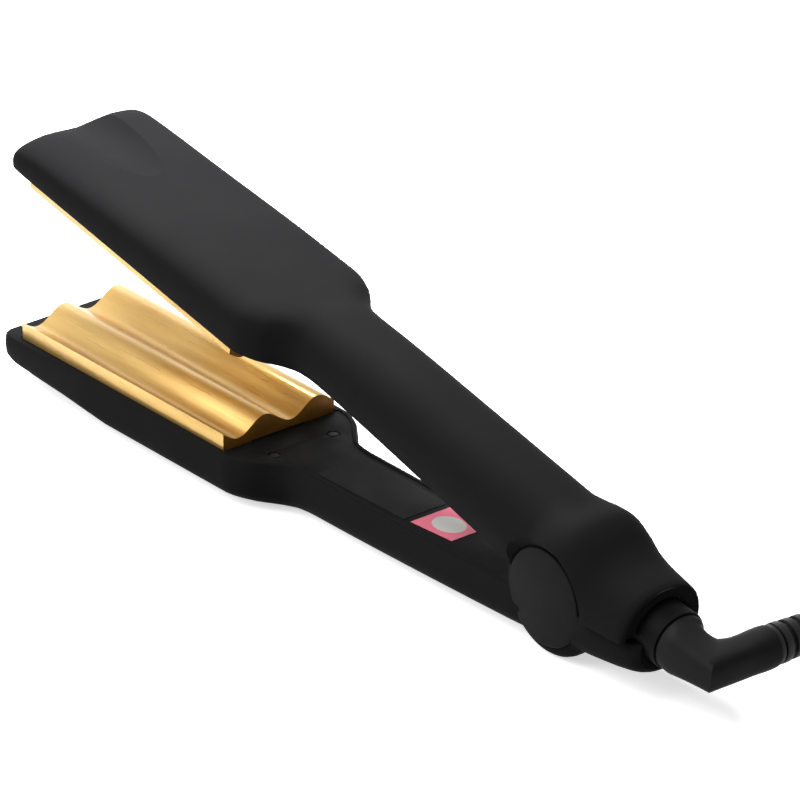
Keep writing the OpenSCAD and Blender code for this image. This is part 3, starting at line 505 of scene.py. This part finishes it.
# From the coil: on along its last turn, inwards over the coil, share of the rise.
END_ROUTE = [
    (0, 0, 0), (2.5, 0, 0.036), (6.12, 0.48, 0.1), (10.53, 2.53, 0.27), (14.24, 6.37, 0.56),
    (16.29, 11.57, 0.86), (16.5, 15.5, 0.98), (16.5, 18, 1), (16.5, 20.5, 1),
]
LOW_Z = CORD_D / 2 + FLOOR_GAP
LAYER_H = CORD_D + LAYER_GAP
COIL_PITCH = CORD_D + TURN_GAP
LAYERS = 4
LAYER_TURNS = 2.125
# How softly the coil turns from winding in to winding out, in turns squared.
TURN_BACK = 0.02
COIL_IN_R = 22.0
END_RISE = 0.6
COIL_TOP = LOW_Z + (LAYERS - 1) * LAYER_H + CORD_D / 2
PLUG_Z = COIL_TOP + TOP_GAP + PLUG_HALF
# Points on the lead's and the end's routes, and on each turn of the coil.
ROUTE_STEPS = 24
TURN_STEPS = 48


def along(route, t):
    """Point at t on a smooth line through a route's points, t counted in points."""
    n = len(route) - 1
    i = min(max(int(math.floor(t)), 0), n - 1)
    u = t - i
    a, b, c, d = (Vector(route[k]) for k in (max(i - 1, 0), i, i + 1, min(i + 2, n)))
    return b + 0.5 * u * (c - a + u * (2 * a - 5 * b + 4 * c - d + u * (3 * (b - c) + d - a)))


def ease(t):
    """Smooth step from 0 to 1."""
    c = min(max(t, 0.0), 1.0)
    return c * c * (3 - 2 * c)


def coil_radius(t):
    """Radius of the coil t turns from its start: in, out, in and out again, a layer each."""
    bends = [math.sqrt((t - k * LAYER_TURNS) ** 2 + TURN_BACK) for k in (1, 2, 3)]
    return COIL_IN_R + COIL_PITCH * (bends[0] - bends[1] + bends[2] - LAYER_TURNS)


def coil_middle():
    """Middle of the coil on the floor, in mm."""
    x = EXIT.x + LEAD_ROUTE[-1][1] - coil_radius(0)
    return Vector((x, EXIT.y + LEAD_ROUTE[-1][0] + CORD_D, 0))


def cord_path():
    """Points of the whole lead in metres: lead, coil, then the end that runs to the plug."""
    points = []
    for i in range(ROUTE_STEPS):
        p = along(LEAD_ROUTE, (len(LEAD_ROUTE) - 1) * i / ROUTE_STEPS)
        drop = EXIT.z + (LOW_Z - EXIT.z) * p[2]
        points.append(Vector((EXIT.x + p[1], EXIT.y + p[0], drop)))
    middle = coil_middle()
    points.append(middle + Vector((coil_radius(0), -CORD_D, LOW_Z)))
    total = LAYERS * LAYER_TURNS
    steps = round(total * TURN_STEPS)
    for i in range(steps + 1):
        t = total * i / steps
        a = 2 * math.pi * t
        r = coil_radius(t)
        # Each layer's rise takes half a turn.
        up = sum(ease(2 * (t - k * LAYER_TURNS) + 0.5) for k in range(1, LAYERS + 1))
        points.append(middle + Vector((r * math.cos(a), r * math.sin(a), LOW_Z + LAYER_H * up)))
    turn = 2 * math.pi * total
    on = Vector((-math.sin(turn), math.cos(turn), 0))
    inwards = Vector((-math.cos(turn), -math.sin(turn), 0))
    end = points[-1] + CORD_D * on + Vector((0, 0, END_RISE))
    for i in range(ROUTE_STEPS + 1):
        p = along(END_ROUTE, (len(END_ROUTE) - 1) * i / ROUTE_STEPS)
        points.append(end + p[0] * on + p[1] * inwards + Vector((0, 0, (PLUG_Z - end.z) * p[2])))
    return [p * MM for p in points]


def tube(points, radius, sides):
    """Points and faces of a round tube along a line, with closed ends."""
    verts, faces = [], []
    n = len(points)
    for i, p in enumerate(points):
        way = (points[min(i + 1, n - 1)] - points[max(i - 1, 0)]).normalized()
        side = way.cross(Vector((0, 0, 1))).normalized()
        up = side.cross(way)
        for k in range(sides):
            a = 2 * math.pi * (k + 0.5) / sides
            verts.append(p + radius * (math.cos(a) * side + math.sin(a) * up))
    for i in range(n - 1):
        for k in range(sides):
            j = (k + 1) % sides
            faces.append((i * sides + k, i * sides + j, (i + 1) * sides + j, (i + 1) * sides + k))
    faces.append(tuple(reversed(range(sides))))
    faces.append(tuple((n - 1) * sides + k for k in range(sides)))
    return verts, faces


# ---- Settings ----


class CrimperFinish(bpy.types.PropertyGroup):
    """Colours of the finishes and the break on the mouldings' edges"""

    casing: bpy.props.StringProperty(
        name="Casing colour", description="sRGB hex of the soft-touch casings", default="1a1a1b"
    )
    plate: bpy.props.StringProperty(
        name="Plate colour", description="sRGB hex of the coated wave plates", default="e0bf78"
    )
    sticker: bpy.props.StringProperty(
        name="Sticker colour", description="sRGB hex of the sticker's border", default="fc6484"
    )
    lead: bpy.props.StringProperty(
        name="Lead colour", description="sRGB hex of the mains lead", default="0f0f10"
    )
    edge: bpy.props.FloatProperty(
        name="Broken edge", description="Width of the break on the mouldings' sharp edges, in mm",
        default=0.25, min=0.0, max=1.0,
    )


class CrimperStudio(bpy.types.PropertyGroup):
    """Camera and light"""

    azimuth: bpy.props.FloatProperty(
        name="Camera azimuth", description="Turn of the camera round the iron",
        default=math.radians(50.9), subtype="ANGLE",
    )
    elevation: bpy.props.FloatProperty(
        name="Camera elevation", description="Height of the camera above the horizon",
        default=math.radians(26.19), subtype="ANGLE",
    )
    distance: bpy.props.FloatProperty(
        name="Camera distance", description="From the camera to the point it looks at",
        default=3.0, unit="LENGTH",
    )
    lens: bpy.props.FloatProperty(
        name="Lens", description="Focal length in mm on a 36 mm wide sensor", default=452.73
    )
    ambient: bpy.props.FloatProperty(
        name="Ambient light", description="Strength of the even light from all round",
        default=0.14, min=0.0, max=2.0,
    )
    backdrop: bpy.props.FloatProperty(
        name="Backdrop glow", description="Brightness that the camera sees in the floor's shadows",
        default=0.6, min=0.0, max=1.0,
    )
    bounce: bpy.props.StringProperty(
        name="Floor tone", description="sRGB hex of the floor as the iron reflects it",
        default="7a7a7a",
    )


# ---- Operators ----


class CRIMPER_OT_studio(bpy.types.Operator):
    """Camera, pale floor, even ambient light and three soft lamps"""

    bl_idname = "crimper.studio"
    bl_label = "Studio"

    def seen_rays(self, tree):
        """1 for the rays that show the white background: camera, glossy and transmission."""
        rays = add(tree, "ShaderNodeLightPath").outputs
        mirrored = add(
            tree, "ShaderNodeMath", {"operation": "MAXIMUM"},
            _0=rays["Is Glossy Ray"], _1=rays["Is Transmission Ray"],
        )
        return add(
            tree, "ShaderNodeMath", {"operation": "MAXIMUM"},
            _0=rays["Is Camera Ray"], _1=mirrored.outputs[0],
        ).outputs[0]

    def execute(self, context):
        look = context.scene.crimper_studio
        scene = context.scene
        scene.view_settings.view_transform = "Standard"
        target = Vector((100, 6.55, 43.49)) * MM
        a, e = look.azimuth, look.elevation
        back = Vector((math.sin(a) * math.cos(e), -math.cos(a) * math.cos(e), math.sin(e)))
        camera = bpy.data.objects.new("studio_camera", bpy.data.cameras.new("studio_camera"))
        camera.data.sensor_width = 36
        camera.data.lens = look.lens
        camera.data.clip_end = 20
        camera.location = target + back * look.distance
        camera.rotation_euler = back.to_track_quat("Z", "Y").to_euler()
        scene.collection.objects.link(camera)
        scene.camera = camera

        material = bpy.data.materials.new("matt_paper_floor")
        tree = empty_tree(material)
        # The paper is white to camera and mirror rays, and keeps the shadow; its bounce is dim.
        paper = add(tree, "ShaderNodeBsdfDiffuse", Color=srgb("ffffff"))
        glow = add(tree, "ShaderNodeEmission", Color=srgb("ffffff"), Strength=look.backdrop)
        lit = add(tree, "ShaderNodeAddShader", _0=paper.outputs[0], _1=glow.outputs[0])
        dim = add(tree, "ShaderNodeBsdfDiffuse", Color=srgb(look.bounce))
        shown = add(
            tree, "ShaderNodeMixShader",
            _0=self.seen_rays(tree), _1=dim.outputs[0], _2=lit.outputs[0],
        )
        add(tree, "ShaderNodeOutputMaterial", Surface=shown.outputs[0])
        half = 6.0
        corners = [(-half, -half, 0), (half, -half, 0), (half, half, 0), (-half, half, 0)]
        floor = new_piece("paper_floor", corners, [(0, 1, 2, 3)], material, smooth=False)
        floor.location.z = -0.3 * MM

        world = bpy.data.worlds.new("even_light")
        tree = empty_tree(world)
        ambient = add(tree, "ShaderNodeBackground", Color=srgb("ffffff"), Strength=look.ambient)
        seen = add(tree, "ShaderNodeBackground", Color=srgb("ffffff"), Strength=1.0)
        shown = add(
            tree, "ShaderNodeMixShader",
            _0=self.seen_rays(tree), _1=ambient.outputs[0], _2=seen.outputs[0],
        )
        add(tree, "ShaderNodeOutputWorld", Surface=shown.outputs[0])
        scene.world = world

        # (name, place, size, power): the first two stand near the tip, so the rear falls away.
        # All three face a point 30 mm over the floor, between the plates.
        faced = Vector((0, 0, 30)) * MM
        for name, spot, width, power in (
            ("near_softbox", (-0.5, -1.1, 1.25), 1.7, 34.0),
            ("head_softbox", (-0.08, 0.06, 0.29), 0.1, 1.7),
            ("horizon_softbox", (-1.5, 1.1, 0.5), 1.2, 4.0),
        ):
            lamp = bpy.data.lights.new(name, "AREA")
            lamp.shape = "SQUARE"
            lamp.size = width
            lamp.energy = power
            obj = bpy.data.objects.new(name, lamp)
            obj.location = spot
            aim = Vector(spot) - faced
            obj.rotation_euler = aim.to_track_quat("Z", "Y").to_euler()
            scene.collection.objects.link(obj)
        return {"FINISHED"}


class CRIMPER_OT_mains_lead(bpy.types.Operator):
    """Mains lead from the strain relief through its coil to the plug, and the coil's tie"""

    bl_idname = "crimper.mains_lead"
    bl_label = "Mains lead"

    def execute(self, context):
        finish = context.scene.crimper_finish
        path = cord_path()
        verts, faces = tube(path, CORD_D / 2 * MM, sides=12)
        lead = new_piece("mains_lead_cable", verts, faces, extruded_pvc(finish.lead))
        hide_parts("mains_lead", "lead_coil", "lead_end")

        tie = self.band()
        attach(tie, "lower_arm")
        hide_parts("coil_tie")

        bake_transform(lead)
        return {"FINISHED"}

    def band(self):
        """Hook-and-loop band round all the coil's layers, on the side the plug leaves free."""
        thick, half_width, slack, rounding = 0.5, 4.5, 0.6, 2.0
        free_turn = math.radians(120)
        arc_steps = 6
        inner = COIL_IN_R - CORD_D / 2 - slack
        outer = coil_radius(0) + CORD_D / 2 + slack
        top = COIL_TOP + TOP_GAP
        centre = (inner + outer) / 2

        def loop(grow):
            """Rounded outline of the band's section, grown by a distance."""
            w, r = (outer - inner) / 2 + grow, rounding + grow
            low, high = thick - grow, top + grow
            corners = ((w, high, 0), (-w, high, 90), (-w, low, 180), (w, low, 270))
            points = []
            for x, z, turn in corners:
                for k in range(arc_steps + 1):
                    a = math.radians(turn + 90 * k / arc_steps)
                    cx = x - math.copysign(r, x)
                    cz = z - r if z == high else z + r
                    points.append((cx + r * math.cos(a), cz + r * math.sin(a)))
            return points

        inside, outside = loop(0), loop(thick)
        n = len(inside)
        turn = 2 * math.pi * LAYERS * LAYER_TURNS - free_turn
        radial = Vector((math.cos(turn), math.sin(turn), 0))
        across = Vector((-radial.y, radial.x, 0))
        verts, faces = [], []
        for ring, side in ((inside, -1), (outside, -1), (outside, 1), (inside, 1)):
            for x, z in ring:
                out = radial * (centre + x) + across * (side * half_width) + Vector((0, 0, z))
                verts.append((coil_middle() + out) * MM)
        for a, b in ((0, 1), (1, 2), (2, 3), (3, 0)):
            for k in range(n):
                j = (k + 1) % n
                faces.append((a * n + k, a * n + j, b * n + j, b * n + k))
        return new_piece("hook_and_loop_tie", verts, faces, woven_band(), smooth=False)


class CRIMPER_OT_casings(bpy.types.Operator):
    """Soft-touch finish of the two arms' casings"""

    bl_idname = "crimper.casings"
    bl_label = "Casings"

    def execute(self, context):
        finish = context.scene.crimper_finish
        dress(("lower_casing",), soft_touch_abs(finish.casing), bevel_mm=finish.edge)
        dress(("upper_casing",), soft_touch_abs(finish.casing, scooped=True), bevel_mm=finish.edge)
        return {"FINISHED"}


class CRIMPER_OT_wave_plates(bpy.types.Operator):
    """Gold-coated wave plates"""

    bl_idname = "crimper.wave_plates"
    bl_label = "Wave plates"

    def execute(self, context):
        finish = context.scene.crimper_finish
        plates = ("lower_wave_plate", "upper_wave_plate")
        dress(plates, gold_coated_aluminium(finish.plate), bevel_mm=0.3)
        ends = painted_shade_gold_end()
        for name in plates:
            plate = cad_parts[name]
            plate.data.materials.append(ends)
            # Faces turned to the rear, along +x, take the second material with its painted shade.
            turn = plate.matrix_world.to_3x3()
            for face in plate.data.polygons:
                face.material_index = int((turn @ face.normal).x > 0.9)
        return {"FINISHED"}


class CRIMPER_OT_handle_fittings(bpy.types.Operator):
    """Inner covers with their screws, the blank label and the sticker"""

    bl_idname = "crimper.handle_fittings"
    bl_label = "Handle fittings"

    def execute(self, context):
        finish = context.scene.crimper_finish
        dress(("lower_inner_cover", "upper_inner_cover"), moulded_abs("0a0a0b"), bevel_mm=0.15)
        dress(("lower_cover_screws", "upper_cover_screws"), blackened_screw_steel(), bevel_mm=0.08)
        dress(("blank_label",), rating_film("0c0c0d"))
        low, high = (Vector(c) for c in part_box("quality_sticker"))
        middle = Vector(((low.x + high.x) / 2, 0, high.z))
        # Half sizes of the pale oval in mm, right through the paper.
        oval = Vector((6.0, 4.6, 1000)) * MM
        paper = coated_paper(finish.sticker, "d9d6d0", middle, oval)
        dress(("quality_sticker",), paper)
        return {"FINISHED"}


class CRIMPER_OT_hinge(bpy.types.Operator):
    """Hinge caps, pin and opening spring"""

    bl_idname = "crimper.hinge"
    bl_label = "Hinge"

    def execute(self, context):
        dress(("near_hinge_cap", "far_hinge_cap"), polished_abs("0c0c0d", "111112"), bevel_mm=0.2)
        dress(("hinge_pin",), drawn_steel("ground_steel_pin", "b4b5b7", rough=0.22))
        dress(("opening_spring",), drawn_steel("drawn_spring_steel", "9fa0a3", rough=0.3))
        return {"FINISHED"}


class CRIMPER_OT_swivel(bpy.types.Operator):
    """Collar, stem clip and strain relief of the swivelling lead exit"""

    bl_idname = "crimper.swivel"
    bl_label = "Swivel"

    def execute(self, context):
        finish = context.scene.crimper_finish
        dress(("swivel_collar",), polished_abs("0a0a0b", "0e0e0f"), bevel_mm=finish.edge)
        dress(("swivel_stem_clip",), drawn_steel("pressed_clip_steel", "a8a9ab", rough=0.3))
        dress(("strain_relief",), extruded_pvc(finish.lead, "moulded_PVC_relief"), bevel_mm=0.15)
        return {"FINISHED"}


class CRIMPER_OT_elbow(bpy.types.Operator):
    """Moulded elbow: a leg from the collar, a mitred outer corner and a filleted inner one"""

    bl_idname = "crimper.elbow"
    bl_label = "Elbow"

    # In mm: the collar's end, the leg to the second leg's axis, half thickness, half width at
    # the collar, inner fillet, radius at the relief and the second leg's length.
    start = 4.9
    leg = 15.2
    half = 5.7
    root = 8.9
    fillet = 5.0
    end_r = 6.5
    reach = 21.5
    # Widths of the breaks at its two ends.
    collar_break = 0.4
    relief_break = 0.35
    # Power of the sections: round at the collar and the relief, squarer between them.
    round_power = 2
    square_power = 3.2
    # Stem inside the collar, with its clip's groove: place along the axis and radius.
    stem = ((-21.4, 4.9), (-20.8, 5.5), (-19.6, 5.5), (-19.6, 4.7), (-18.3, 4.7), (-18.3, 5.5),
            (5.5, 5.5))
    sides = 40

    def ring(self, middle, out, across, rise, power):
        """Rounded section: out and rise are its half sizes, and a power of 2 makes it round."""
        points = []
        for k in range(self.sides):
            a = 2 * math.pi * k / self.sides
            c, s = math.cos(a), math.sin(a)
            u = math.copysign(abs(c) ** (2 / power), c) * out
            v = math.copysign(abs(s) ** (2 / power), s) * rise
            x, y = middle[0] + across[0] * u, middle[1] + across[1] * u
            points.append(at_collar(x, y, v))
        return points

    def execute(self, context):
        h, f = self.half, self.fillet
        corner = Vector((self.start + self.leg - h - f, h + f))
        taper = (self.root - h) / (self.leg + h)

        def rise(x):
            """Half height: it falls from the collar to the corner, fastest at the collar."""
            return mix(self.root, h, 1 - (1 - min(1, (x - self.start) / self.leg)) ** 1.6)

        rings = []
        # First leg: its outer side runs straight from the collar to the corner.
        first = corner.x - self.start
        for t in (0, 0.04, 0.12, 0.25, 0.4, 0.55, 0.7, 0.85):
            x = self.start + first * t
            cut = self.collar_break if t == 0 else 0
            outer = self.root - taper * first * t - cut
            inner = mix(self.root, h, ease(t)) - cut
            middle = (x, (inner - outer) / 2)
            power = mix(self.round_power, self.square_power, t)
            rings.append(self.ring(middle, (inner + outer) / 2, (0, -1), rise(x) - cut, power))
        # Bend: its inner side is the fillet, its outer side the mitred corner.
        bend_steps = 18
        for i in range(bend_steps + 1):
            a = math.pi / 2 * i / bend_steps
            way = Vector((math.sin(a), -math.cos(a)))
            side = (corner.y + self.root - taper * first) / (math.cos(a) + taper * math.sin(a))
            outer = min(side, (f + 2 * h) / max(math.sin(a), 0.01))
            middle = corner + way * (outer + f) / 2
            half = (outer - f) / 2
            rings.append(self.ring(middle, half, way, rise(middle.x), self.square_power))
        # Second leg: it grows round towards the relief.
        second = self.reach - corner.y
        for t in (0.15, 0.35, 0.55, 0.75, 0.9, 0.97, 1):
            size = mix(h, self.end_r, ease(t)) - (self.relief_break if t == 1 else 0)
            middle = (self.start + self.leg, corner.y + second * t)
            power = mix(self.square_power, self.round_power, t)
            rings.append(self.ring(middle, size, (1, 0), size, power))
        verts, faces = loft(rings)
        more, stem_faces = loft(
            [self.ring((u, 0), r, (0, -1), r, self.round_power) for u, r in self.stem]
        )
        faces += [tuple(len(verts) + i for i in face) for face in stem_faces]
        # A lighter copy of the smooth ABS on the collar and caps: painted light, making up for the
        # lamp light that falls short on the elbow.
        painted_light_abs = polished_abs("1d1d1e", "242425")
        elbow = outward(new_piece("moulded_elbow", verts + more, faces, painted_light_abs))
        finish_edges(elbow, degrees=30)
        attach(elbow, "swivel")
        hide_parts("swivel_elbow")
        return {"FINISHED"}


class CRIMPER_OT_hood_lip(bpy.types.Operator):
    """Inner lip of the hood, which closes round the collar with a running gap"""

    bl_idname = "crimper.hood_lip"
    bl_label = "Hood lip"

    def execute(self, context):
        finish = context.scene.crimper_finish
        # In mm: running gap, depth into the hood, half sizes of its mouth, and how far the
        # mouth's rear edge lies before the swivel's middle, at the sides and at the top.
        gap, depth, half_width, half_height = 0.4, 4.5, 13.8, 13.4
        side_rear, top_rear = -3.2, -2.9
        inner_r = COLLAR_R + gap
        steps = 48
        rings = []
        for i in range(steps + 1):
            a = math.radians(mix(2, 178, i / steps))
            c, s = math.cos(a), math.sin(a)
            rear = mix(side_rear, top_rear, s)
            outer = Vector((half_width * c, half_height * s))
            inner = Vector((inner_r * c, inner_r * s))
            rings.append([
                at_collar(rear - depth, *outer), at_collar(rear, *outer),
                at_collar(rear + 0.1, *inner.lerp(outer, 0.3)),
                at_collar(rear - 0.15, *inner.lerp(outer, 0.1)),
                at_collar(rear - 0.5, *inner), at_collar(rear - depth, *inner),
            ])
        verts, faces = loft(rings)
        lip = outward(new_piece("hood_lip", verts, faces, soft_touch_abs(finish.casing)))
        finish_edges(lip, degrees=40)
        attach(lip, "upper_arm")
        return {"FINISHED"}


class CRIMPER_OT_plug(bpy.types.Operator):
    """Plug body, its relief and its two pins"""

    bl_idname = "crimper.plug"
    bl_label = "Plug"

    def execute(self, context):
        finish = context.scene.crimper_finish
        pvc = extruded_pvc(finish.lead, "moulded_PVC_plug")
        dress(("plug_body",), pvc, bevel_mm=0.8)
        dress(("plug_relief",), pvc, bevel_mm=0.15)
        dress(("plug_pins",), nickel_plate())
        return {"FINISHED"}


class CRIMPER_OT_inner_parts(bpy.types.Operator):
    """Holders, heaters, leaf springs and fuse inside the heads"""

    bl_idname = "crimper.inner_parts"
    bl_label = "Inner parts"

    def execute(self, context):
        dress(("lower_plate_holder", "upper_plate_holder"), glass_filled_nylon(), bevel_mm=0.2)
        dress(("lower_heater", "upper_heater"), sintered_ceramic(), bevel_mm=0.1)
        steel = drawn_steel("rolled_leaf_steel", "a2a3a6", rough=0.28)
        dress(("lower_heater_spring", "upper_heater_spring", "thermal_fuse"), steel)
        return {"FINISHED"}


class CRIMPER_PT_panel(bpy.types.Panel):
    """Lists the settings and the operators in the sidebar"""

    bl_label = "Hair crimper"
    bl_idname = "CRIMPER_PT_panel"
    bl_space_type = "VIEW_3D"
    bl_region_type = "UI"
    bl_category = "Crimper"

    def draw(self, context):
        for group in (context.scene.crimper_finish, context.scene.crimper_studio):
            box = self.layout.box()
            for name in group.__annotations__:
                box.prop(group, name)
        for operator in OPERATORS:
            self.layout.operator(operator.bl_idname)


OPERATORS = (
    CRIMPER_OT_studio,
    CRIMPER_OT_mains_lead,
    CRIMPER_OT_casings,
    CRIMPER_OT_wave_plates,
    CRIMPER_OT_handle_fittings,
    CRIMPER_OT_hinge,
    CRIMPER_OT_swivel,
    CRIMPER_OT_elbow,
    CRIMPER_OT_hood_lip,
    CRIMPER_OT_plug,
    CRIMPER_OT_inner_parts,
)
CLASSES = (CrimperFinish, CrimperStudio, *OPERATORS, CRIMPER_PT_panel)


def register():
    for cls in CLASSES:
        bpy.utils.register_class(cls)
    bpy.types.Scene.crimper_finish = bpy.props.PointerProperty(type=CrimperFinish)
    bpy.types.Scene.crimper_studio = bpy.props.PointerProperty(type=CrimperStudio)


def unregister():
    del bpy.types.Scene.crimper_studio
    del bpy.types.Scene.crimper_finish
    for cls in reversed(CLASSES):
        bpy.utils.unregister_class(cls)


def build():
    """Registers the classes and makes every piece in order."""
    register()
    for operator in OPERATORS:
        name = operator.bl_idname.split(".")[1]
        if getattr(bpy.ops.crimper, name)() != {"FINISHED"}:
            raise RuntimeError(f"{name} wasn't finished")


if __name__ == "__main__":
    build()
